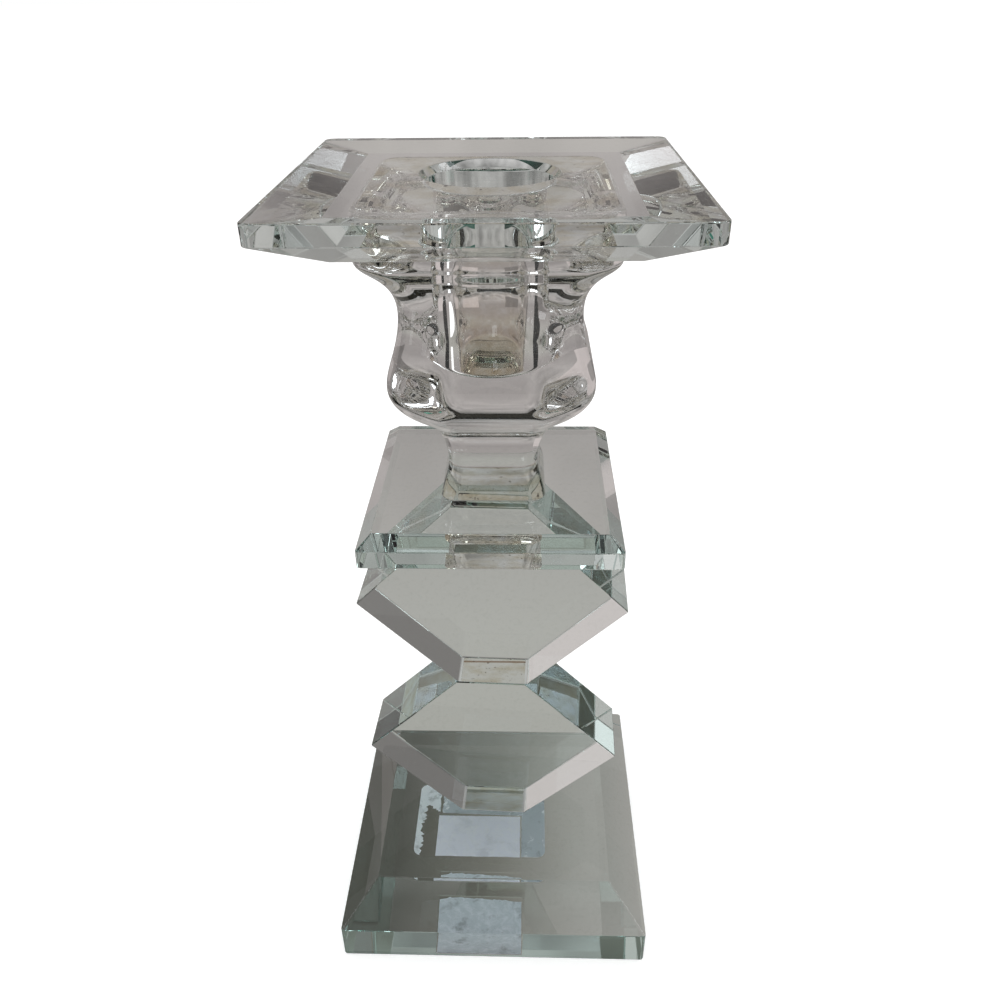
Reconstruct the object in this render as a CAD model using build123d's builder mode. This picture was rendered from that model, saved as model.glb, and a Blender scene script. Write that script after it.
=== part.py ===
"""Glass candlestick: a bonded stack of bevelled and cut glass blocks with a pressed candle cup.

Units are millimetres and degrees. +Z is up, and the origin is the centre of the resting face.
From the bottom: base block, two six-sided blocks standing on their cut corners, collar plate,
pressed candle cup and drip plate. A clear adhesive film joins each piece to the next, and three
blank paper labels sit flush in the underside.
"""
from build123d import *
from math import cos, radians, sin
import os

os.makedirs("parts", exist_ok=True)

# ---- driving dimensions ----
bond = 0.15                  # thickness of each cured adhesive film
bond_margin = 0.5            # bare rim of glass round each film
arris = 0.3                  # small ground edge on the cut blocks
corner_radius = 0.8          # rounding of the upright corners of the square plates

base_width = 76.0
base_height = 19.0
base_edge = 9.8              # upright part of the base's side, below the bevel
base_flat = 58.2             # width of the flat top inside the bevel

block_flat = 16.8            # cut corner that each six-sided block stands on
block_height = 46.4
block_width = block_height + block_flat      # the slanted sides run at 45 degrees
block_depth = 17.0

collar_width = 54.0
collar_thickness = 6.6
collar_edge = 4.0
collar_flat = 48.0

plate_width = 74.4
plate_thickness = 9.0
plate_edge = 3.7             # upright part of the drip plate's side, above its lower bevel
plate_corner_radius = 2.0    # rounding of its upright corners
plate_flat = 52.6            # width of the flat underside inside the bevel
plate_hole_radius = 12.0
plate_rim_rise = 1.4         # height of the polished flare at the mouth of the hole
plate_rim_flare = 1.1

cup_height = 55.3
socket_radius = 11.0
socket_depth = 27.2
socket_floor_radius = 1.2

# Height above the foot, half width and corner radius of the cup's rounded square sections.
cup_sections = [
    (0.0, 11.1, 3.2),        # foot on the collar
    (1.2, 10.9, 3.2),
    (6.0, 9.6, 3.4),         # neck
    (12.0, 10.0, 4.2),
    (17.0, 13.0, 7.0),      # underside of the bulb
    (20.7, 17.3, 9.0),
    (25.5, 20.3, 9.6),      # widest part of the bulb
    (33.0, 19.0, 9.8),
    (40.0, 17.7, 9.6),      # waist
    (46.0, 18.6, 8.4),
    (50.2, 21.3, 6.8),       # flare under the drip plate
    (53.0, 23.4, 5.6),
    (cup_height, 23.2, 5.0),
]

label_thickness = 0.15
backing_label_size = (36.6, 24.4)
backing_label_centre = (-4.6, -2.6)
backing_label_corner = 2.5
price_label_size = (23.5, 13.6)
price_label_centre_x = -5.0
front_label_size = (22.0, 17.0)
front_label_centre = (-3.7, -27.9)

# Side shift in X and Y, and twist about Z, of each hand-set piece.
lower_block_set = (-0.4, 0.0, -2.2)
upper_block_set = (0.0, 0.0, -2.0)
collar_set = (0.4, 1.2, 0.2)
cup_set = (0.6, 0.4, 0.5)

# ---- heights of the stack ----
lower_block_z = base_height + bond
upper_block_z = lower_block_z + block_height + bond
collar_z = upper_block_z + block_height + bond
cup_z = collar_z + collar_thickness + bond
plate_z = cup_z + cup_height + bond
overall_height = plate_z + plate_thickness


def seat(height, setting, facing=1):
    """Plane at a height, shifted and twisted as the piece is set; facing -1 looks down."""
    shift_x, shift_y, twist = setting
    along = (cos(radians(twist)), sin(radians(twist)), 0)
    return Plane(origin=(shift_x, shift_y, height), x_dir=along, z_dir=(0, 0, facing))


def finish(builder, name):
    """Label a finished piece and write its STEP file."""
    builder.part.label = name
    export_step(builder.part, f"parts/{name}.step")


def bevelled_slab(plane, width, edge, flat, thickness, corner):
    """Square plate with an upright edge, then a slope in to a smaller flat face."""
    with BuildPart() as slab:
        with BuildSketch(plane):
            RectangleRounded(width, width, corner)
        extrude(amount=edge)
        with BuildSketch(plane.offset(edge)):
            RectangleRounded(width, width, corner)
        with BuildSketch(plane.offset(thickness)):
            RectangleRounded(flat, flat, corner / 2)
        loft(ruled=True)
    return slab


def six_sided_block(plane):
    """Upright block: a square on its corner with the top and bottom corners cut flat."""
    side = Plane(origin=plane.origin, x_dir=plane.x_dir, z_dir=-plane.y_dir)
    half_flat = block_flat / 2
    half_width = block_width / 2
    with BuildPart() as block:
        with BuildSketch(side):
            with BuildLine():
                Polyline(
                    (-half_flat, 0), (half_flat, 0), (half_width, block_height / 2),
                    (half_flat, block_height), (-half_flat, block_height),
                    (-half_width, block_height / 2), close=True)
            make_face()
        extrude(amount=block_depth / 2, both=True)
        chamfer(block.edges(), arris)
    return block


def film(plane, width, depth, corner=0.4, hole_radius=0.0):
    """Thin layer of cured adhesive, with a hole where the candle socket passes."""
    with BuildPart() as layer:
        with BuildSketch(plane):
            RectangleRounded(width, depth, corner)
            if hole_radius:
                Circle(hole_radius, mode=Mode.SUBTRACT)
        extrude(amount=bond)
    return layer


# ---- base block, with shallow seats for the labels in its underside ----
with BuildPart() as base_block:
    with BuildSketch():
        RectangleRounded(base_width, base_width, corner_radius)
    extrude(amount=base_edge)
    with BuildSketch(Plane.XY.offset(base_edge)):
        RectangleRounded(base_width, base_width, corner_radius)
    with BuildSketch(Plane.XY.offset(base_height)):
        RectangleRounded(base_flat, base_flat, corner_radius / 2)
    loft(ruled=True)
    with BuildSketch():
        with Locations(backing_label_centre):
            RectangleRounded(*backing_label_size, backing_label_corner)
        with Locations(front_label_centre):
            Rectangle(*front_label_size)
    extrude(amount=label_thickness, mode=Mode.SUBTRACT)
finish(base_block, "base_block")

# ---- labels: a backing label, open at its near edge for the price label, and one in front ----
label_near_y = backing_label_centre[1] - backing_label_size[1] / 2
price_label_centre = (price_label_centre_x, label_near_y + price_label_size[1] / 2)

with BuildPart() as backing_label:
    with BuildSketch():
        with Locations(backing_label_centre):
            RectangleRounded(*backing_label_size, backing_label_corner)
        with Locations(price_label_centre):
            Rectangle(*price_label_size, mode=Mode.SUBTRACT)
    extrude(amount=label_thickness)
finish(backing_label, "backing_label")

with BuildPart() as price_label:
    with BuildSketch():
        with Locations(price_label_centre):
            Rectangle(*price_label_size)
    extrude(amount=label_thickness)
finish(price_label, "price_label")

with BuildPart() as front_label:
    with BuildSketch():
        with Locations(front_label_centre):
            Rectangle(*front_label_size)
    extrude(amount=label_thickness)
finish(front_label, "front_label")

# ---- the two six-sided blocks ----
finish(six_sided_block(seat(lower_block_z, lower_block_set)), "lower_block")
finish(six_sided_block(seat(upper_block_z, upper_block_set)), "upper_block")

# ---- collar plate, bevelled above, and drip plate, bevelled below and drilled ----
finish(bevelled_slab(seat(collar_z, collar_set), collar_width, collar_edge, collar_flat,
                     collar_thickness, corner_radius), "collar_plate")

drip_plate_blank = bevelled_slab(seat(overall_height, cup_set, facing=-1), plate_width,
                                 plate_edge, plate_flat, plate_thickness,
                                 plate_corner_radius)
rim_plane = seat(overall_height, cup_set)
with BuildPart() as drip_plate:
    add(drip_plate_blank.part)
    with Locations(rim_plane):
        Hole(plate_hole_radius)
    rim = drip_plate.edges().filter_by(GeomType.CIRCLE).filter_by(
        lambda edge: abs(edge.radius - plate_hole_radius) < bond).sort_by(Axis.Z)[-1]
    chamfer(rim, plate_rim_flare, plate_rim_rise,
            reference=drip_plate.faces().sort_by(Axis.Z)[-1])
finish(drip_plate, "drip_plate")

# ---- pressed candle cup: rounded square sections from foot to flared head, with its socket ----
with BuildPart() as candle_cup:
    for height, half_width, radius in cup_sections:
        with BuildSketch(seat(cup_z + height, cup_set)):
            RectangleRounded(2 * half_width, 2 * half_width, radius)
    loft()
    with Locations(seat(cup_z + cup_height, cup_set)):
        Hole(socket_radius, depth=socket_depth)
    socket_floor_z = cup_z + cup_height - socket_depth
    floor_edge = candle_cup.edges().filter_by(GeomType.CIRCLE).filter_by(
        lambda edge: abs(edge.center().Z - socket_floor_z) < bond)
    fillet(floor_edge, socket_floor_radius)
finish(candle_cup, "candle_cup")

# ---- adhesive films, named after the joint that each one holds ----
block_film = (block_flat - 2 * bond_margin, block_depth - 2 * bond_margin)
foot_half = cup_sections[0][1]
head_half = cup_sections[-1][1]
foot_film = 2 * (foot_half - bond_margin)
head_film = 2 * (head_half - bond_margin)

finish(film(seat(base_height, lower_block_set), *block_film), "base_joint_adhesive")
finish(film(seat(upper_block_z - bond, upper_block_set), *block_film), "block_joint_adhesive")
finish(film(seat(collar_z - bond, upper_block_set), *block_film), "collar_joint_adhesive")
finish(film(seat(cup_z - bond, cup_set), foot_film, foot_film, 3.0), "cup_foot_adhesive")
finish(film(seat(plate_z - bond, cup_set), head_film, head_film, 4.5,
            plate_hole_radius + bond_margin), "drip_plate_adhesive")

print("overall height", round(overall_height, 2), "socket floor height", round(socket_floor_z, 2))
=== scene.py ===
"""Glass candlestick: polished glass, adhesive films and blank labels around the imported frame.

Everything is in metres, in the frame's own axes. Each glass piece is a closed mesh. Where adhesive
wets two pieces, both have a face of the film's outline marked as bonded, so light passes straight
through the joint, and everywhere else it bends and reflects at the polished surface.
"""
import math
import random

import bmesh
import bpy
import numpy as np
from mathutils import Matrix, Vector


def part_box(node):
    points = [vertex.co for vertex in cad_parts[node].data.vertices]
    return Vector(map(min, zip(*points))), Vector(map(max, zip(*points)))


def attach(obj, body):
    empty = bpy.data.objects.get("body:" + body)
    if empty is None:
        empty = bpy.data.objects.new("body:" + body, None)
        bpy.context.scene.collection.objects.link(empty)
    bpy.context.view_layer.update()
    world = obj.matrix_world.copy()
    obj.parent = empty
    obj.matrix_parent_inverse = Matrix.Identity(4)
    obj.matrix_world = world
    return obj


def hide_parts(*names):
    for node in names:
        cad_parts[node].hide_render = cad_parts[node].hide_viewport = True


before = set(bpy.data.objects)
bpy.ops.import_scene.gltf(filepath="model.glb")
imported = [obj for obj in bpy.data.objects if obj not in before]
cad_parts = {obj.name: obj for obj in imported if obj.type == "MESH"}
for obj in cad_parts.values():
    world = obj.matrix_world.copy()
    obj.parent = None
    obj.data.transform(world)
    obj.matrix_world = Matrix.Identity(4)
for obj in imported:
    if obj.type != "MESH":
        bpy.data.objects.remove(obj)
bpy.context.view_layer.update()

MM = 0.001

# ---- shape details that the frame's boxes don't hold ----
ARRIS = 0.3 * MM                  # polished edge on every piece of cut glass
CORNER = 0.8 * MM                 # rounding of the base's and collar's upright corners
FILM_GAP = 0.01 * MM              # keeps a film's faces just clear of the glass
BOND_MARGIN = 0.5 * MM            # bare rim of glass round each film

BASE_EDGE = 9.8 * MM              # upright part of the base's side
BASE_RUN = 8.9 * MM               # how far its bevel slopes inwards
LABEL_SEAT = 0.15 * MM            # depth of the labels' seat in the underside
BLOCK_FLAT = 16.8 * MM            # cut corner that a six-sided block stands on
BLOCK_DEPTH = 17.0 * MM
COLLAR_WIDTH = 54.0 * MM
COLLAR_EDGE = 4.0 * MM
COLLAR_RUN = 3.0 * MM
PLATE_WIDTH = 74.4 * MM
PLATE_EDGE = 3.7 * MM
PLATE_CORNER = 2.0 * MM
PLATE_RUN = 10.9 * MM
PLATE_HOLE = 12.0 * MM
RIM_RISE = 1.4 * MM               # polished flare at the mouth of the plate's hole
RIM_FLARE = 1.1 * MM
SOCKET_RADIUS = 11.0 * MM
SOCKET_DEPTH = 27.2 * MM
SOCKET_ROUND = 1.2 * MM           # between the socket's wall and floor
SOCKET_LIP = 0.5 * MM
CUP_EDGE_ROUND = 0.4 * MM         # round the faces of the cup's foot and head
HEAD_FILM_CORNER = 4.5 * MM       # corners of the adhesive films
FOOT_FILM_CORNER = 3.0 * MM
BLOCK_FILM_CORNER = 0.6 * MM
FILM_CREEP = 0.012                # how far a film's edge stays back, as a share of its size
BEVEL_CORNER_LOSS = 0.7           # share of a corner's rounding lost by the end of its bevel
BACKING_SEAT_CORNER = 2.5 * MM    # corners of the labels' seats
FRONT_SEAT_CORNER = 0.2 * MM
LABEL_BACK = 0.02 * MM            # height of the labels' outer face above the resting plane
BUBBLE_RADIUS = 0.5 * MM
BUBBLE_AT = Vector((-12.9, -13.4, 42.9)) * MM    # from the centre of the cup's foot

# Height above the foot, half width and corner radius of the cup's sections, in millimetres.
CUP_SECTIONS = [
    (0.0, 11.1, 3.2), (1.2, 10.9, 3.2), (6.0, 9.6, 3.4), (12.0, 10.0, 4.2), (17.0, 13.0, 7.0),
    (20.7, 17.3, 9.0), (25.5, 20.3, 9.6), (33.0, 19.0, 9.8), (40.0, 17.7, 9.6),
    (46.0, 18.6, 8.4), (50.2, 21.3, 6.8), (53.0, 23.4, 5.6), (55.3, 23.2, 5.0),
]

# Twist about Z of each hand-set piece, in degrees.
TWIST = {"base_block": 0.0, "lower_block": -2.2, "upper_block": -2.0, "collar_plate": 0.2,
         "candle_cup": 0.5, "drip_plate": 0.5}

# The piece whose face each adhesive film covers, and whose twist it shares.
FILMS = {
    "base_joint_adhesive": "lower_block",
    "block_joint_adhesive": "upper_block",
    "collar_joint_adhesive": "upper_block",
    "cup_foot_adhesive": "candle_cup",
    "drip_plate_adhesive": "candle_cup",
}

# ---- fineness of the round parts ----
CORNER_STEPS = 8
FILM_HOLE_STEPS = 96
PLATE_HOLE_STEPS = 128
SOCKET_STEPS = 192
CUP_EDGE_STEPS = 5
CUP_LEVELS = 230

BARE, BONDED = 0, 1                # kinds of face, told apart by index while a mesh is made


# ---- places ----
def middle(node):
    low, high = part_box(node)
    return Vector(((low.x + high.x) / 2, (low.y + high.y) / 2, low.z))


def bottom(node):
    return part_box(node)[0].z


def top(node):
    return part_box(node)[1].z


def height(node):
    return top(node) - bottom(node)


def seat(node):
    """Matrix from a piece's own axes, at the centre of its foot, to the frame."""
    twist = math.radians(TWIST[node])
    return Matrix.Translation(middle(node)) @ Matrix.Rotation(twist, 4, "Z")


# ---- outlines ----
def square(width, depth=None):
    x, y = width / 2, (depth or width) / 2
    return [(-x, -y), (x, -y), (x, y), (-x, y)]


def circle(radius, steps):
    angles = (2 * math.pi * k / steps for k in range(steps))
    return [Vector((radius * math.cos(a), radius * math.sin(a))) for a in angles]


def inset_polygon(points, inset):
    """A convex polygon, given anticlockwise, with every side moved inwards."""
    moved = []
    count = len(points)
    for i in range(count):
        a, b, c = (Vector(points[(i + k) % count]) for k in (-1, 0, 1))
        into, onward = (b - a).normalized(), (c - b).normalized()
        normal = Vector((-into.y, into.x))
        bisector = (normal + Vector((-onward.y, onward.x))).normalized()
        moved.append(b + bisector * (inset / bisector.dot(normal)))
    return moved


def round_corners(points, radius, steps):
    """A convex polygon, given anticlockwise, with each corner replaced by an arc."""
    rounded = []
    count = len(points)
    for i in range(count):
        a, b, c = (Vector(points[(i + k) % count]) for k in (-1, 0, 1))
        back, onward = (a - b).normalized(), (c - b).normalized()
        half = back.angle(onward) / 2
        centre = b + (back + onward).normalized() * (radius / math.sin(half))
        start = b + back * (radius / math.tan(half)) - centre
        for k in range(steps + 1):
            turn = Matrix.Rotation((math.pi - 2 * half) * k / steps, 2)
            rounded.append(centre + turn @ start)
    return rounded


def soften(profile, radius, steps=3):
    """An open profile with its inner corners rounded, without its two end points."""
    soft = []
    for a, b, c in zip(profile, profile[1:], profile[2:]):
        a, b, c = Vector(a), Vector(b), Vector(c)
        back, onward = (a - b).normalized(), (c - b).normalized()
        reach = radius / math.tan(back.angle(onward) / 2)
        first, last = b + back * reach, b + onward * reach
        for k in range(steps + 1):
            t = k / steps
            soft.append((1 - t) ** 2 * first + 2 * t * (1 - t) * b + t ** 2 * last)
    return soft


def wander(points, share, seed):
    """An outline that creeps in and out a little about its centre, as squeezed adhesive does."""
    rng = random.Random(seed)
    phases = [rng.uniform(0, 2 * math.pi) for _ in range(5)]
    crept = []
    for i, point in enumerate(points):
        turn = 2 * math.pi * i / len(points)
        wave = sum(math.sin((k + 2) * turn + phase) / (k + 1) for k, phase in enumerate(phases))
        crept.append(Vector(point) * (1 - share * (1 + wave / 2)))
    return crept


def lift(points, z, place=Matrix.Identity(4)):
    """Flat outline raised to a height in a piece's own axes, then placed in the frame."""
    return [place @ Vector((p[0], p[1], z)) for p in points]


# ---- mesh building ----
def add_loop(bm, points):
    verts = [bm.verts.new(p) for p in points]
    for a, b in zip(verts, verts[1:] + verts[:1]):
        bm.edges.new((a, b))
    return verts


def join_loops(bm, loops, smooth=False):
    """Bands of quads along a run of rings that all have the same number of vertices."""
    for lower, upper in zip(loops, loops[1:]):
        count = len(lower)
        for i in range(count):
            j = (i + 1) % count
            bm.faces.new((lower[i], lower[j], upper[j], upper[i])).smooth = smooth


def ring_edges(verts):
    pairs = zip(verts, verts[1:] + verts[:1])
    return [next(e for e in a.link_edges if e.other_vert(a) == b) for a, b in pairs]


def cap(bm, rings):
    """Closes a flat end with nested rings, from the outside in, each with the kind of face in it.

    The last ring is closed with one face, unless its kind is None.
    """
    for (outer, kind), (inner, _) in zip(rings, rings[1:]):
        edges = ring_edges(outer) + ring_edges(inner)
        filled = bmesh.ops.triangle_fill(bm, use_beauty=True, edges=edges)
        for face in filled["geom"]:
            if isinstance(face, bmesh.types.BMFace):
                face.material_index = kind
    verts, kind = rings[-1]
    if kind is not None:
        bm.faces.new(verts).material_index = kind


def open_flat(bm, z):
    """Removes the largest level face at a height and returns its ring of vertices."""
    level = [f for f in bm.faces if abs(f.calc_center_median().z - z) < FILM_GAP]
    face = max(level, key=lambda f: f.calc_area())
    verts = list(face.verts)
    bmesh.ops.delete(bm, geom=[face], context="FACES_ONLY")
    return verts


def imprint(bm, z, outline):
    """Marks a bonded area of the given outline on the level face at a height."""
    boundary = open_flat(bm, z)
    patch = add_loop(bm, lift(outline, z))
    cap(bm, [(boundary, BARE), (patch, BONDED)])


def to_object(name, bm, material, node, bubble=None):
    """Turns a bmesh into the piece that stands for a CAD node, with its bonded faces marked.

    bubble places one round air bubble, left in the glass, whose faces look in at its air.
    """
    bmesh.ops.recalc_face_normals(bm, faces=bm.faces)
    if bubble:
        ball = bmesh.ops.create_icosphere(bm, subdivisions=3, radius=BUBBLE_RADIUS, matrix=bubble)
        for face in {face for vert in ball["verts"] for face in vert.link_faces}:
            face.normal_flip()
            face.smooth = True
    kinds = [float(face.material_index) for face in bm.faces]
    for face in bm.faces:
        face.material_index = 0
    mesh = bpy.data.meshes.new(name)
    bm.to_mesh(mesh)
    bm.free()
    if any(kinds):
        mesh.attributes.new("bonded", "FLOAT", "FACE").data.foreach_set("value", kinds)
    mesh.materials.append(material)
    obj = bpy.data.objects.new(name, mesh)
    bpy.context.scene.collection.objects.link(obj)
    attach(obj, "root")
    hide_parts(node)


# ---- bonded areas: one outline per film, shared by the film and both pieces ----
def film_outlines():
    """Outer outline, and inner one where the socket passes, of each film in frame axes."""
    outlines = {}
    for seed, (film, piece) in enumerate(FILMS.items()):
        twist = Matrix.Rotation(math.radians(TWIST[piece]), 2)
        centre = middle(film).xy
        if film == "drip_plate_adhesive":
            half, radius = CUP_SECTIONS[-1][1] * MM - BOND_MARGIN, HEAD_FILM_CORNER
            outer = round_corners(square(2 * half), radius, steps=12)
            inner = circle(PLATE_HOLE + BOND_MARGIN, FILM_HOLE_STEPS)
        elif film == "cup_foot_adhesive":
            half, radius = CUP_SECTIONS[0][1] * MM - BOND_MARGIN, FOOT_FILM_CORNER
            outer, inner = round_corners(square(2 * half), radius, CORNER_STEPS), []
        else:
            width, depth = BLOCK_FLAT - 2 * BOND_MARGIN, BLOCK_DEPTH - 2 * BOND_MARGIN
            outer = round_corners(square(width, depth), BLOCK_FILM_CORNER, steps=6)
            inner = []
        outlines[film] = [
            [twist @ Vector(p) + centre for p in wander(outer, FILM_CREEP, seed)],
            [twist @ Vector(p) + centre for p in inner],
        ]
    return outlines


# ---- the pieces ----
def cut_loops(outline, profile, radius_at, steps, level):
    """Rings round a cut piece. level makes one ring from a flat outline and its profile height."""
    return [level(round_corners(inset_polygon(outline, inset), radius_at(inset), steps), along)
            for inset, along in profile]


def slab(node, width, edge, run, corner=CORNER, bevel_down=False):
    """Bevelled square plate as a bmesh in frame axes."""
    rise = height(node)
    inner = run + width / 4
    profile = [(width / 4, 0), (0, 0), (0, edge), (run, rise), (inner, rise)]
    if bevel_down:
        profile = [(inset, rise - z) for inset, z in reversed(profile)]
    place = seat(node)
    bm = bmesh.new()
    loops = cut_loops(square(width), soften(profile, ARRIS),
                      lambda inset: corner * (1 - BEVEL_CORNER_LOSS * min(inset / run, 1.0)),
                      CORNER_STEPS,
                      lambda points, z: add_loop(bm, lift(points, z, place)))
    join_loops(bm, loops)
    cap(bm, [(loops[0], BARE)])
    cap(bm, [(loops[-1], BARE)])
    return bm


def base_piece(material, outlines, label_outlines):
    bm = slab("base_block", 2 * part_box("base_block")[1].x, BASE_EDGE, BASE_RUN)
    imprint(bm, top("base_block"), outlines["base_joint_adhesive"][0])
    edges = ring_edges(open_flat(bm, bottom("base_block")))
    seats = [[add_loop(bm, lift(outline, z)) for z in (0, LABEL_SEAT)]
             for outline in label_outlines]
    for mouth, _ in seats:
        edges += ring_edges(mouth)
    bmesh.ops.triangle_fill(bm, use_beauty=True, edges=edges)
    for mouth, ceiling in seats:
        join_loops(bm, [mouth, ceiling])
        cap(bm, [(ceiling, BONDED)])
    to_object("base_block_glass", bm, material, "base_block")


def six_sided_piece(node, material, outlines, film_below, film_above):
    half_flat, rise = BLOCK_FLAT / 2, height(node)
    half_width = half_flat + rise / 2
    outline = [(-half_flat, 0), (half_flat, 0), (half_width, rise / 2), (half_flat, rise),
               (-half_flat, rise), (-half_width, rise / 2)]
    half_depth = BLOCK_DEPTH / 2
    profile = [(half_flat / 2, -half_depth), (0, -half_depth), (0, half_depth),
               (half_flat / 2, half_depth)]
    place = seat(node)
    bm = bmesh.new()
    loops = cut_loops(outline, soften(profile, ARRIS), lambda inset: ARRIS, 3,
                      lambda points, y: add_loop(
                          bm, [place @ Vector((p[0], y, p[1])) for p in points]))
    join_loops(bm, loops)
    cap(bm, [(loops[0], BARE)])
    cap(bm, [(loops[-1], BARE)])
    imprint(bm, bottom(node), outlines[film_below][0])
    imprint(bm, top(node), outlines[film_above][0])
    to_object(node + "_glass", bm, material, node)


def collar_piece(material, outlines):
    bm = slab("collar_plate", COLLAR_WIDTH, COLLAR_EDGE, COLLAR_RUN)
    imprint(bm, bottom("collar_plate"), outlines["collar_joint_adhesive"][0])
    imprint(bm, top("collar_plate"), outlines["cup_foot_adhesive"][0])
    to_object("collar_plate_glass", bm, material, "collar_plate")


def drip_plate_piece(material, outlines):
    """Square plate with a lower bevel, drilled and flared for the candle."""
    node = "drip_plate"
    rise, place = height(node), seat(node)
    bm = slab(node, PLATE_WIDTH, PLATE_EDGE, PLATE_RUN, PLATE_CORNER, bevel_down=True)
    reach = PLATE_HOLE / 4
    profile = [(PLATE_HOLE + reach, 0), (PLATE_HOLE, 0), (PLATE_HOLE, rise - RIM_RISE),
               (PLATE_HOLE + RIM_FLARE, rise), (PLATE_HOLE + RIM_FLARE + reach, rise)]
    hole = [add_loop(bm, lift(circle(radius, PLATE_HOLE_STEPS), z, place))
            for radius, z in soften(profile, ARRIS, 4)]
    join_loops(bm, hole, smooth=True)
    outer, inner = outlines["drip_plate_adhesive"]
    below = [add_loop(bm, lift(ring, bottom(node))) for ring in (outer, inner)]
    cap(bm, [(open_flat(bm, bottom(node)), BARE), (below[0], BONDED),
             (below[1], BARE), (hole[0], None)])
    cap(bm, [(open_flat(bm, top(node)), BARE), (hole[-1], None)])
    to_object("drip_plate_glass", bm, material, node)


def natural_spline(xs, ys):
    """Function for the smooth curve through points, with no bend at its two ends."""
    xs, ys = np.asarray(xs, float), np.asarray(ys, float)
    gaps, count = np.diff(xs), len(xs)
    slopes = np.diff(ys) / gaps
    system, wanted = np.eye(count), np.zeros(count)
    for i in range(1, count - 1):
        system[i, i - 1:i + 2] = gaps[i - 1], 2 * (gaps[i - 1] + gaps[i]), gaps[i]
        wanted[i] = 6 * (slopes[i] - slopes[i - 1])
    bends = np.linalg.solve(system, wanted)

    def value(x):
        i = int(np.clip(np.searchsorted(xs, x) - 1, 0, count - 2))
        gap, a, b = gaps[i], xs[i + 1] - x, x - xs[i]
        return ((bends[i] * a ** 3 + bends[i + 1] * b ** 3) / (6 * gap)
                + (ys[i] / gap - bends[i] * gap / 6) * a
                + (ys[i + 1] / gap - bends[i + 1] * gap / 6) * b)
    return value


def cup_outline(half_width, radius, corner_steps=30, side_steps=12):
    """Rounded square with evenly divided sides, so that smooth shading stays even."""
    corners = round_corners(square(2 * half_width), radius, corner_steps)
    per_corner = corner_steps + 1
    points = []
    for k in range(4):
        arc = corners[k * per_corner:(k + 1) * per_corner]
        following = corners[((k + 1) * per_corner) % len(corners)]
        points += arc
        points += [arc[-1].lerp(following, s / side_steps) for s in range(1, side_steps)]
    return points


def cup_piece(material, outlines):
    """Pressed cup: a rounded square body from foot to flared head, with the candle socket."""
    node = "candle_cup"
    place, rise = seat(node), height(node)
    zs, halves, radii = zip(*CUP_SECTIONS)
    half_at, radius_at = natural_spline(zs, halves), natural_spline(zs, radii)
    ends = [CUP_EDGE_ROUND * (1 - math.cos(math.pi / 2 * k / CUP_EDGE_STEPS))
            for k in range(CUP_EDGE_STEPS)]
    levels = ends + list(np.linspace(CUP_EDGE_ROUND, rise - CUP_EDGE_ROUND, CUP_LEVELS))
    levels += [rise - z for z in reversed(ends)]
    bm = bmesh.new()
    residue = bm.verts.layers.float.new("residue")
    body = []
    for z in levels:
        reach = max(CUP_EDGE_ROUND - min(z, rise - z), 0.0)
        inset = CUP_EDGE_ROUND - math.sqrt(max(CUP_EDGE_ROUND ** 2 - reach ** 2, 0.0))
        half = half_at(z / MM) * MM - inset
        outline = cup_outline(half, radius_at(z / MM) * MM - inset)
        body.append(add_loop(bm, lift(outline, z, place)))
    join_loops(bm, body, smooth=True)

    floor = rise - SOCKET_DEPTH
    run_up = SOCKET_RADIUS / 4
    lip = soften([(SOCKET_RADIUS + run_up, rise), (SOCKET_RADIUS, rise), (SOCKET_RADIUS, floor)],
                 SOCKET_LIP, 5)
    turn = soften([(SOCKET_RADIUS, rise), (SOCKET_RADIUS, floor), (0, floor)], SOCKET_ROUND, 8)
    socket = [add_loop(bm, lift(circle(radius, SOCKET_STEPS), z, place))
              for radius, z in lip + turn]
    join_loops(bm, socket, smooth=True)
    for ring in socket[len(lip):]:
        for vert in ring:
            vert[residue] = 1.0
    cap(bm, [(socket[-1], BARE)])

    outer, inner = outlines["drip_plate_adhesive"]
    head = [add_loop(bm, lift(ring, top(node))) for ring in (outer, inner)]
    cap(bm, [(body[-1], BARE), (head[0], BONDED), (head[1], BARE), (socket[0], None)])
    foot = add_loop(bm, lift(outlines["cup_foot_adhesive"][0], bottom(node)))
    cap(bm, [(body[0], BARE), (foot, BONDED)])
    to_object("candle_cup_glass", bm, material, node,
              place @ Matrix.Translation(BUBBLE_AT))


def film_piece(node, outline, material):
    """Thin clear layer of cured adhesive of the same outline as the bonded faces."""
    outer, inner = outline
    low, high = bottom(node) + FILM_GAP, top(node) - FILM_GAP
    bm = bmesh.new()
    walls = [[add_loop(bm, lift(ring, z)) for z in (low, high)]
             for ring in (outer, inner) if ring]
    for wall in walls:
        join_loops(bm, wall)
    for end in (0, 1):
        rings = [(wall[end], BARE) for wall in walls]
        if inner:
            rings[-1] = (rings[-1][0], None)
        cap(bm, rings)
    to_object(node + "_film", bm, material, node)


def label_seat(node, radius):
    """Outline of the shallow seat that a label lies in."""
    low, high = (corner.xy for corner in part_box(node))
    outline = round_corners(square(*(high - low)), radius, CORNER_STEPS)
    return [point + (low + high) / 2 for point in outline]


def torn_line(rng, a, b, steps, depth):
    """Points from a towards b whose edge is torn back, to the left of the way, by up to depth."""
    a, b = Vector(a), Vector(b)
    along = (b - a).normalized()
    inward = Vector((-along.y, along.x))
    bite, points = 0.0, []
    for k in range(steps):
        bite = min(depth, max(0.0, bite * 0.55 + rng.uniform(-0.55, 1.0) * depth * 0.5))
        jog = rng.uniform(-0.3, 0.3) / steps if k else 0.0
        points.append(a.lerp(b, k / steps + jog) + inward * bite)
    return points


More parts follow.
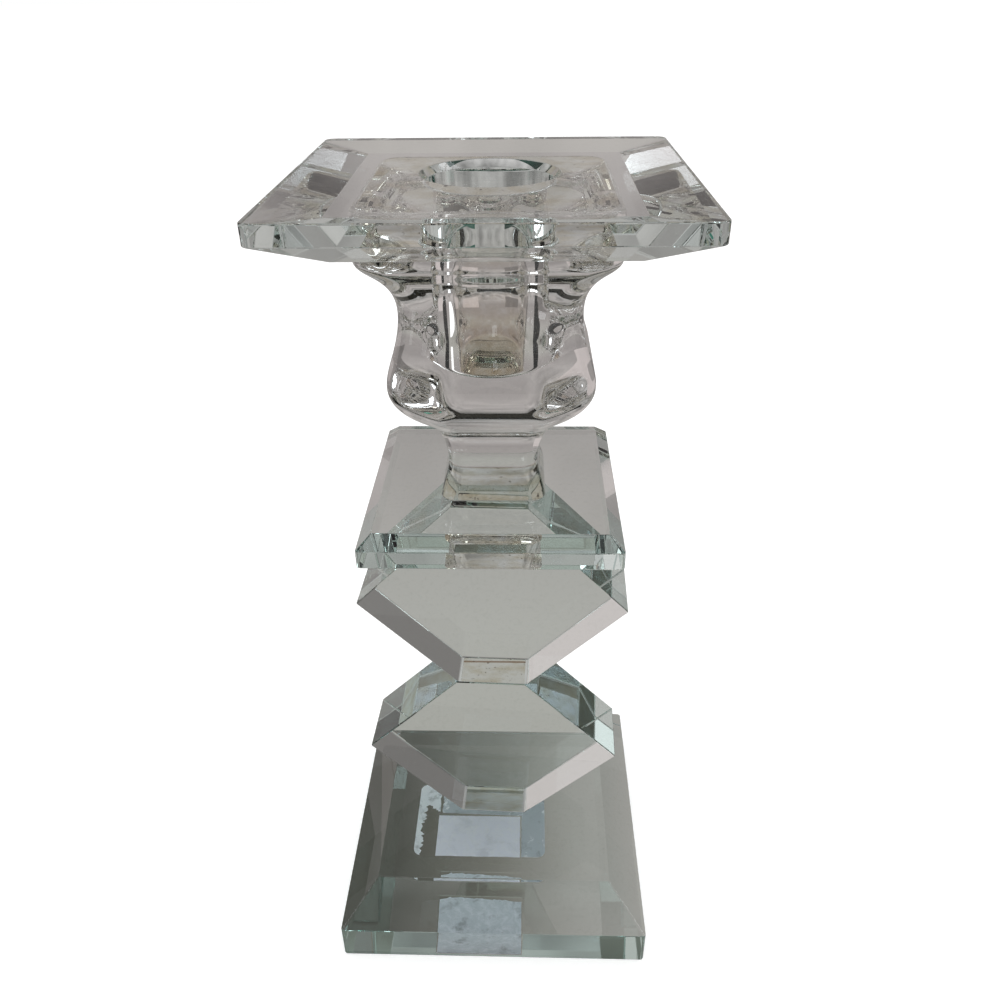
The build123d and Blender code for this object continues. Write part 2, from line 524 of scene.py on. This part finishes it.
def arc(cx, cy, radius, start, end, steps=6):
    turns = (math.radians(start + (end - start) * k / steps) for k in range(steps + 1))
    return [Vector((cx + radius * math.cos(t), cy + radius * math.sin(t))) for t in turns]


def paper_sheet(bm, outline, low, high):
    """Closed flat sheet between two heights."""
    rings = [add_loop(bm, lift(outline, z)) for z in (low, high)]
    join_loops(bm, rings)
    for ring in rings:
        bmesh.ops.triangle_fill(bm, use_beauty=True, edges=ring_edges(ring))


def backing_label_piece(material):
    """Worn backing label: whole on the right, with a torn band left along its left edge."""
    low, high = (corner.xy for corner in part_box("backing_label"))
    inner_low, inner_high = (corner.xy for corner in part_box("price_label"))
    margin, corner, rng = 0.3 * MM, 2.2 * MM, random.Random(4)
    x0, y0, x1, y1 = low.x + margin, low.y + margin, high.x - margin, high.y - margin
    notch_x, notch_y = inner_high.x + margin / 2, inner_high.y + margin / 2
    under, over = LABEL_BACK, LABEL_SEAT - FILM_GAP
    split_x = inner_low.x + 1.0 * MM            # where the sheet tore away from the band
    band_x = x0 + 2.6 * MM
    bm = bmesh.new()

    outline = [Vector((notch_x, y0))] + arc(x1 - corner, y0 + corner, corner, -90, 0)
    outline += arc(x1 - corner, y1 - corner, corner, 0, 90)
    outline += torn_line(rng, (x1 - corner - 0.3 * MM, y1), (split_x, y1), 40, 0.9 * MM)
    outline += torn_line(rng, (split_x, y1), (split_x, notch_y), 20, 0.8 * MM)
    outline += [Vector((notch_x, notch_y))]
    paper_sheet(bm, outline, under, over)

    band = arc(x0 + corner, y0 + corner, corner, 180, 262)
    band += torn_line(rng, (x0 + corner + 0.2 * MM, y0 + 0.1 * MM),
                      (band_x, y1 - 7.5 * MM), 34, 1.9 * MM)
    band += torn_line(rng, (band_x, y1 - 7.4 * MM),
                      (split_x - 0.6 * MM, notch_y + 0.6 * MM), 12, 0.9 * MM)
    band += torn_line(rng, (split_x - 0.5 * MM, notch_y + 0.8 * MM),
                      (split_x - 0.6 * MM, y1 - 0.3 * MM), 14, 0.7 * MM)
    band += torn_line(rng, (split_x - 0.8 * MM, y1), (x0 + corner + 0.3 * MM, y1), 12, 0.4 * MM)
    band += arc(x0 + corner, y1 - corner, corner, 92, 180)
    paper_sheet(bm, band[:-1], under, over)
    to_object("backing_label_paper", bm, material, "backing_label")


def plain_label_piece(node, material, torn, seed):
    """Blank label with nicked edges, torn back by up to a given depth along its far side."""
    low, high = (corner.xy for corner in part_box(node))
    margin, rng = 0.2 * MM, random.Random(seed)
    x0, y0, x1, y1 = low.x + margin, low.y + margin, high.x - margin, high.y - margin
    nick = 0.1 * MM
    outline = torn_line(rng, (x0, y0), (x1, y0), 24, nick)
    outline += torn_line(rng, (x1, y0), (x1, y1 - torn), 16, nick)
    outline += torn_line(rng, (x1, y1 - torn), (x0 + 2 * torn, y1), 30, nick + torn / 3)
    if torn:
        outline += torn_line(rng, (x0 + 2 * torn, y1 - torn / 2), (x0, y1 - torn), 6, nick)
    outline += torn_line(rng, (x0, y1 - torn), (x0, y0), 16, nick)
    bm = bmesh.new()
    paper_sheet(bm, outline, LABEL_BACK, LABEL_SEAT - FILM_GAP)
    to_object(node + "_paper", bm, material, node)


# ---- materials ----
def fresh_material(name):
    material = bpy.data.materials.new(name)
    material.use_nodes = True
    nodes, links = material.node_tree.nodes, material.node_tree.links
    nodes.clear()
    output = nodes.new("ShaderNodeOutputMaterial")
    coordinates = nodes.new("ShaderNodeTexCoord")
    return material, nodes, links, output, coordinates.outputs["Object"]


def noise(nodes, links, vector, scale, detail=4.0, roughness=0.55, distortion=0.0):
    texture = nodes.new("ShaderNodeTexNoise")
    texture.inputs["Scale"].default_value = scale
    texture.inputs["Detail"].default_value = detail
    texture.inputs["Roughness"].default_value = roughness
    texture.inputs["Distortion"].default_value = distortion
    links.new(vector, texture.inputs["Vector"])
    return texture.outputs["Fac"]


def ramp(nodes, links, factor, stops):
    """Colour ramp from (position, colour) stops. A plain number stands for a grey."""
    node = nodes.new("ShaderNodeValToRGB")
    elements = node.color_ramp.elements
    while len(elements) < len(stops):
        elements.new(0.5)
    while len(elements) > len(stops):
        elements.remove(elements[-1])
    for element, (position, colour) in zip(elements, stops):
        element.position = position
        element.color = (*([colour] * 3 if isinstance(colour, (int, float)) else colour), 1.0)
    links.new(factor, node.inputs["Fac"])
    return node.outputs["Color"]


def multiply(nodes, links, colour, by, factor=None):
    """One colour darkened by another, in full or as far as a factor says."""
    mix = nodes.new("ShaderNodeMix")
    mix.data_type = "RGBA"
    mix.blend_type = "MULTIPLY"
    if factor is None:
        mix.inputs["Factor"].default_value = 1.0
    else:
        links.new(factor, mix.inputs["Factor"])
    links.new(colour, mix.inputs["A"])
    links.new(by, mix.inputs["B"])
    return mix.outputs["Result"]


def bump(nodes, links, height_socket, strength, distance):
    node = nodes.new("ShaderNodeBump")
    node.inputs["Strength"].default_value = strength
    node.inputs["Distance"].default_value = distance
    links.new(height_socket, node.inputs["Height"])
    return node.outputs["Normal"]


def glass(name, tint, density, smudge, ripple_scale, ripple, residue=None):
    """Polished glass, tinted in its depth, with faint smudges and a slow ripple in its surface.

    On faces marked as bonded, cured adhesive of the glass's own index wets it, so they are clear.
    """
    material, nodes, links, output, vector = fresh_material(name)
    shader = nodes.new("ShaderNodeBsdfPrincipled")
    shader.inputs["IOR"].default_value = 1.52
    shader.inputs["Transmission Weight"].default_value = 1.0
    smears = noise(nodes, links, vector, 55.0, 5.0, 0.6, 0.8)
    links.new(ramp(nodes, links, smears, [(0.50, 0.0), (0.75, smudge)]),
              shader.inputs["Roughness"])
    dust = noise(nodes, links, vector, 900.0, 2.0, 0.5)
    colour = ramp(nodes, links, dust, [(0.30, (0.93, 0.94, 0.93)), (0.45, (0.995, 1.0, 0.997))])
    if residue:                                    # old wax left round the socket's floor
        ring = nodes.new("ShaderNodeAttribute")
        ring.attribute_name = "residue"
        patches = ramp(nodes, links, noise(nodes, links, vector, 260.0, 4.0, 0.6),
                       [(0.30, (0.9, 0.88, 0.84)), (0.55, residue)])
        stain = nodes.new("ShaderNodeMix")
        stain.data_type = "RGBA"
        links.new(ring.outputs["Fac"], stain.inputs["Factor"])
        links.new(colour, stain.inputs["A"])
        links.new(patches, stain.inputs["B"])
        colour = stain.outputs["Result"]
    links.new(colour, shader.inputs["Base Color"])
    swell = noise(nodes, links, vector, ripple_scale, 2.0, 0.4)
    links.new(bump(nodes, links, swell, 1.0, ripple), shader.inputs["Normal"])
    clear = nodes.new("ShaderNodeBsdfTransparent")
    mark = nodes.new("ShaderNodeAttribute")
    mark.attribute_name = "bonded"
    choose = nodes.new("ShaderNodeMixShader")
    links.new(mark.outputs["Fac"], choose.inputs["Fac"])
    links.new(shader.outputs["BSDF"], choose.inputs[1])
    links.new(clear.outputs["BSDF"], choose.inputs[2])
    links.new(choose.outputs["Shader"], output.inputs["Surface"])
    volume = nodes.new("ShaderNodeVolumeAbsorption")
    volume.inputs["Color"].default_value = (*tint, 1.0)
    volume.inputs["Density"].default_value = density
    links.new(volume.outputs["Volume"], output.inputs["Volume"])
    return material


def cured_adhesive():
    """Clear film with pale brown clouding and a few trapped specks."""
    material, nodes, links, output, vector = fresh_material("cured_adhesive")
    shader = nodes.new("ShaderNodeBsdfTransparent")
    clouds = ramp(nodes, links, noise(nodes, links, vector, 160.0, 4.0, 0.6),
                  [(0.42, (1.0, 1.0, 1.0)), (0.72, (0.88, 0.84, 0.76))])
    specks = ramp(nodes, links, noise(nodes, links, vector, 1100.0, 2.0, 0.5),
                  [(0.26, (0.22, 0.18, 0.13)), (0.31, (1.0, 1.0, 1.0))])
    links.new(multiply(nodes, links, clouds, specks), shader.inputs["Color"])
    links.new(shader.outputs["BSDF"], output.inputs["Surface"])
    return material


def paper(name, base, stops, stain, rough, worn_from=None, worn_to=None):
    """Matt label paper with fibres, stained patches, and a worn side between two places in X.

    stops colour the wear, from none to full, after the plain base.
    """
    material, nodes, links, output, vector = fresh_material(name)
    shader = nodes.new("ShaderNodeBsdfPrincipled")
    shader.inputs["Specular IOR Level"].default_value = 0.25
    wear = noise(nodes, links, vector, 420.0, 5.0, 0.62, 0.8)
    if worn_from is not None:
        split = nodes.new("ShaderNodeSeparateXYZ")
        links.new(vector, split.inputs["Vector"])
        side = nodes.new("ShaderNodeMapRange")
        side.inputs["From Min"].default_value = worn_from
        side.inputs["From Max"].default_value = worn_to
        side.inputs["To Max"].default_value = 0.30
        links.new(split.outputs["X"], side.inputs["Value"])
        added = nodes.new("ShaderNodeMath")
        links.new(wear, added.inputs[0])
        links.new(side.outputs["Result"], added.inputs[1])
        wear = added.outputs["Value"]
    colour = ramp(nodes, links, wear, [(0.0, base)] + stops)
    stains = ramp(nodes, links, noise(nodes, links, vector, 150.0, 5.0, 0.65, 0.3),
                  [(0.34, stain), (0.46, 1.0)])
    links.new(multiply(nodes, links, colour, stains), shader.inputs["Base Color"])
    fibre = noise(nodes, links, vector, 2600.0, 4.0, 0.7)
    links.new(ramp(nodes, links, fibre, [(0.3, rough - 0.1), (0.7, rough + 0.1)]),
              shader.inputs["Roughness"])
    links.new(bump(nodes, links, fibre, 0.4, 0.02 * MM), shader.inputs["Normal"])
    links.new(shader.outputs["BSDF"], output.inputs["Surface"])
    return material


FLOAT_TINT, FLOAT_DENSITY = (0.70, 0.87, 0.84), 14.0
CUP_TINT, CUP_DENSITY = (0.80, 0.80, 0.79), 10.0

plate_glass = glass("plate_glass", FLOAT_TINT, FLOAT_DENSITY, 0.015, 14.0, 0.02 * MM)
drip_glass = glass("drip_plate_glass", (0.76, 0.87, 0.85), 9.0, 0.015, 14.0, 0.02 * MM)
block_glass = glass("block_glass", FLOAT_TINT, FLOAT_DENSITY, 0.010, 12.0, 0.02 * MM)
cup_glass = glass("pressed_glass", CUP_TINT, CUP_DENSITY, 0.006, 30.0, 0.03 * MM,
                  (0.66, 0.56, 0.44))
adhesive = cured_adhesive()
backing = paper("backing_paper", (0.52, 0.55, 0.60),
                [(0.62, (0.55, 0.58, 0.63)), (0.70, (0.93, 0.94, 0.99))], 0.55, 0.65,
                -13.0 * MM, -17.5 * MM)
blank_label = paper("label_paper", (0.88, 0.86, 0.99),
                    [(0.45, (0.91, 0.89, 1.0)), (0.75, (0.95, 0.93, 1.0))], 0.88, 0.6)
front_label = paper("front_label_paper", (0.62, 0.66, 0.72),
                    [(0.45, (0.66, 0.70, 0.76)), (0.72, (0.86, 0.88, 0.96))], 0.62, 0.6)

# ---- the object ----
outlines = film_outlines()
base_piece(plate_glass, outlines, [label_seat("backing_label", BACKING_SEAT_CORNER),
                                   label_seat("front_label", FRONT_SEAT_CORNER)])
six_sided_piece("lower_block", block_glass, outlines, "base_joint_adhesive",
                "block_joint_adhesive")
six_sided_piece("upper_block", block_glass, outlines, "block_joint_adhesive",
                "collar_joint_adhesive")
collar_piece(plate_glass, outlines)
cup_piece(cup_glass, outlines)
drip_plate_piece(drip_glass, outlines)
for film, outline in outlines.items():
    film_piece(film, outline, adhesive)
backing_label_piece(backing)
plain_label_piece("price_label", blank_label, 0.0, 5)
plain_label_piece("front_label", front_label, 1.0 * MM, 6)


# ---- camera, at the photograph's viewing angle ----
CAMERA_AT = (7.73 * MM, -170.88 * MM, 216.93 * MM)
CAMERA_TURN, CAMERA_TILT, CAMERA_ROLL = 0.0349, 0.5464, -0.0117    # in radians

camera_data = bpy.data.cameras.new("camera")
camera_data.sensor_width = 36.0
camera_data.lens = 32.04
camera_data.clip_start = 0.01
camera_data.clip_end = 50.0
camera = bpy.data.objects.new("camera", camera_data)
camera.matrix_world = (
    Matrix.Translation(CAMERA_AT) @ Matrix.Rotation(CAMERA_TURN, 4, "Z")
    @ Matrix.Rotation(math.pi / 2 - CAMERA_TILT, 4, "X") @ Matrix.Rotation(CAMERA_ROLL, 4, "Z"))
bpy.context.scene.collection.objects.link(camera)
bpy.context.scene.camera = camera


# ---- stage ----
ONLY_IN_GLASS = dict(camera=False, diffuse=False, shadow=False, volume_scatter=False)
CARDS_FACE = Vector((0, 0, 0.1))   # the point, just over half way up, that the cards stand round


def sheet_object(name, width, depth, place, material, **seen_by):
    """Flat staging sheet. seen_by switches off ray kinds, such as glossy=False."""
    bm = bmesh.new()
    bm.faces.new([bm.verts.new(place @ Vector((x, y, 0))) for x, y in square(width, depth)])
    mesh = bpy.data.meshes.new(name)
    bm.to_mesh(mesh)
    bm.free()
    mesh.materials.append(material)
    obj = bpy.data.objects.new(name, mesh)
    bpy.context.scene.collection.objects.link(obj)
    for kind in ("camera", "diffuse", "glossy", "transmission", "shadow", "volume_scatter"):
        setattr(obj, "visible_" + kind, seen_by.get(kind, True))


def emitter(name, stops, strength=1.0, reach=0.05):
    """Plain glow, graded along the sheet's own X over plus or minus reach metres."""
    material, nodes, links, output, vector = fresh_material(name)
    split = nodes.new("ShaderNodeSeparateXYZ")
    links.new(vector, split.inputs["Vector"])
    spread = nodes.new("ShaderNodeMapRange")
    spread.inputs["From Min"].default_value = -reach
    spread.inputs["From Max"].default_value = reach
    links.new(split.outputs["X"], spread.inputs["Value"])
    shader = nodes.new("ShaderNodeEmission")
    shader.inputs["Strength"].default_value = strength
    links.new(ramp(nodes, links, spread.outputs["Result"], stops), shader.inputs["Color"])
    links.new(shader.outputs["Emission"], output.inputs["Surface"])
    return material


def card(name, direction, distance, wide, tall, strength, *stops):
    """Glowing or dark sheet facing the object, seen only in its glass, with colours across it."""
    aim = Vector(direction).normalized()
    place = Matrix.Translation(aim * distance + CARDS_FACE)
    place = place @ aim.to_track_quat("Z", "Y").to_matrix().to_4x4()
    graded = [(k / max(len(stops) - 1, 1), colour) for k, colour in enumerate(stops)]
    sheet_object(name, wide, tall, place, emitter(name, graded, strength, wide / 2),
                 **ONLY_IN_GLASS)


def window(name, direction, distance, wide, tall, columns, rows, strength):
    """A bright window in panes, for the sparkle in the cut edges."""
    pane_share = (0.86, 0.88)                      # the rest of each pane's place is frame
    aim = Vector(direction).normalized()
    across = aim.cross(Vector((0, 0, 1))).normalized()
    upward = across.cross(aim)
    for column in range(columns):
        for row in range(rows):
            offset = (across * ((column + 0.5) / columns - 0.5) * wide
                      + upward * ((row + 0.5) / rows - 0.5) * tall)
            card(f"{name}_{column}{row}", aim * distance + offset, distance,
                 wide / columns * pane_share[0], tall / rows * pane_share[1], strength,
                 (0.92, 0.96, 1.0))


def pale_floor():
    """Matt white floor with a little glow, so that it stays pale in the dim room."""
    material, nodes, links, output, vector = fresh_material("pale_floor")
    shader = nodes.new("ShaderNodeBsdfPrincipled")
    shader.inputs["Roughness"].default_value = 0.9
    shader.inputs["Specular IOR Level"].default_value = 0.0
    links.new(ramp(nodes, links, noise(nodes, links, vector, 3.0), [(0.0, 0.93), (1.0, 0.95)]),
              shader.inputs["Base Color"])
    shader.inputs["Emission Color"].default_value = (1.0, 1.0, 1.0, 1.0)
    shader.inputs["Emission Strength"].default_value = 0.30
    links.new(shader.outputs["BSDF"], output.inputs["Surface"])
    return material


sheet_object("floor", 12.0, 12.0, Matrix.Translation((0, 0, -0.05 * MM)), pale_floor(),
             glossy=False, transmission=False)
seam = emitter("table_seam", [(0.0, (0.20, 0.14, 0.10))])
sheet_object("table_seam", 0.5, 0.9 * MM, Matrix.Translation((0, 82 * MM, -1.0 * MM)), seam,
             **ONLY_IN_GLASS)
# Glowing sheet for the table beneath the base, seen only through the glass: its dark left end is
# painted shadow of the glass on the table, grading to painted lit grey at the right.
table_glow_painted_shadow = emitter("table_glow_painted_shadow", [(0.0, (0.07, 0.07, 0.06)), (0.28, (0.07, 0.07, 0.06)),
                                    (0.50, (0.17, 0.165, 0.145)), (0.68, (0.32, 0.31, 0.29)),
                                    (1.0, (0.46, 0.44, 0.42))], reach=0.06)
sheet_object("table_card", 0.20, 0.078, Matrix.Translation((0, 0, -0.3 * MM)), table_glow_painted_shadow,
             **ONLY_IN_GLASS)

window("right_window", (0.9, 0.15, 0.75), 1.6, 0.9, 0.9, 3, 2, 3.2)
window("left_window", (-0.95, -0.1, 0.55), 1.8, 0.3, 0.7, 1, 3, 2.2)

# Name, direction, distance, width, height and strength of each card, and the colours across it.
card("lit_table", (0.22, -0.80, -0.62), 1.2, 0.30, 0.25, 3.0,
     (0.62, 0.74, 0.95), (0.95, 0.98, 1.0))
card("back_left", (0.69, 0.72, 0.0), 1.5, 1.1, 0.7, 1.0,
     (0.34, 0.325, 0.315), (0.20, 0.185, 0.18))
card("back_right", (-0.69, 0.72, 0.0), 1.5, 1.1, 0.7, 1.0,
     (0.62, 0.56, 0.55), (0.44, 0.39, 0.38))
card("dark_figure", (-0.1, -1.0, 0.35), 1.4, 0.8, 0.9, 1.0, 0.05)
card("dark_left", (-0.88, 0.36, -0.30), 1.5, 0.50, 1.8, 1.0, 0.04)
card("dark_right", (0.88, 0.36, -0.30), 1.5, 0.50, 1.8, 1.0, 0.04)
card("lit_left", (-0.92, -0.07, -0.38), 1.5, 0.22, 1.2, 1.3, 1.0)
card("dark_corner", (0.68, -0.72, 0.17), 1.5, 0.36, 0.36, 1.0, 0.04)
card("warm_lamp", (-0.75, -0.66, 0.06), 1.5, 0.30, 0.30, 1.0,
     (1.0, 1.0, 1.0), (0.85, 0.60, 0.38), (1.0, 0.95, 0.9))


# ---- the room around it ----
def dim_room():
    """Grey room for the glass, an even dome for matt surfaces, and plain white for the camera."""
    world = bpy.data.worlds.new("room")
    world.use_nodes = True
    nodes, links = world.node_tree.nodes, world.node_tree.links
    nodes.clear()
    output = nodes.new("ShaderNodeOutputWorld")
    vector = nodes.new("ShaderNodeTexCoord").outputs["Generated"]
    split = nodes.new("ShaderNodeSeparateXYZ")
    links.new(vector, split.inputs["Vector"])
    upness = nodes.new("ShaderNodeMapRange")
    upness.inputs["From Min"].default_value = -1.0
    links.new(split.outputs["Z"], upness.inputs["Value"])
    tones = ramp(nodes, links, upness.outputs["Result"], [
        (0.0, (0.36, 0.35, 0.31)), (0.18, (0.44, 0.425, 0.40)), (0.28, (0.36, 0.335, 0.325)),
        (0.42, (0.33, 0.305, 0.30)), (0.50, (0.45, 0.42, 0.41)), (0.62, (0.44, 0.41, 0.40)),
        (0.80, (0.38, 0.37, 0.36)), (0.90, (0.36, 0.35, 0.345)), (1.0, (0.60, 0.58, 0.58))])
    clutter = ramp(nodes, links, noise(nodes, links, vector, 4.5, 3.0, 0.6),
                   [(0.36, 0.55), (0.50, 1.0), (0.62, 1.35)])
    above = nodes.new("ShaderNodeMapRange")
    above.inputs["From Min"].default_value = -0.1
    above.inputs["From Max"].default_value = 0.3
    links.new(split.outputs["Z"], above.inputs["Value"])
    room = nodes.new("ShaderNodeBackground")
    links.new(multiply(nodes, links, tones, clutter, above.outputs["Result"]),
              room.inputs["Color"])
    light_path = nodes.new("ShaderNodeLightPath")
    lit_matt = nodes.new("ShaderNodeMath")
    lit_matt.operation = "MINIMUM"
    links.new(light_path.outputs["Diffuse Depth"], lit_matt.inputs[0])
    lit_matt.inputs[1].default_value = 1.0
    shader = room.outputs["Background"]
    for who, level in ((lit_matt.outputs["Value"], 0.85),
                       (light_path.outputs["Is Camera Ray"], 1.0)):
        plain = nodes.new("ShaderNodeBackground")
        plain.inputs["Color"].default_value = (level, level, level, 1.0)
        choose = nodes.new("ShaderNodeMixShader")
        links.new(who, choose.inputs["Fac"])
        links.new(shader, choose.inputs[1])
        links.new(plain.outputs["Background"], choose.inputs[2])
        shader = choose.outputs["Shader"]
    links.new(shader, output.inputs["Surface"])
    return world


bpy.context.scene.world = dim_room()

soft_box = bpy.data.lights.new("soft_box", "AREA")
soft_box.shape = "RECTANGLE"
soft_box.size, soft_box.size_y = 1.6, 1.6
soft_box.energy = 6.0
soft_light = bpy.data.objects.new("soft_box", soft_box)
soft_light.location = (0.2, -0.2, 1.4)
soft_light.visible_glossy = False
soft_light.visible_transmission = False
bpy.context.scene.collection.objects.link(soft_light)

# ---- light paths long enough for glass seen through glass ----
settings = bpy.context.scene.cycles
settings.max_bounces = 32
settings.glossy_bounces = 16
settings.transmission_bounces = 28
settings.transparent_max_bounces = 40
settings.sample_clamp_indirect = 4.0
settings.use_denoising = True
bpy.context.scene.view_settings.view_transform = "Standard"
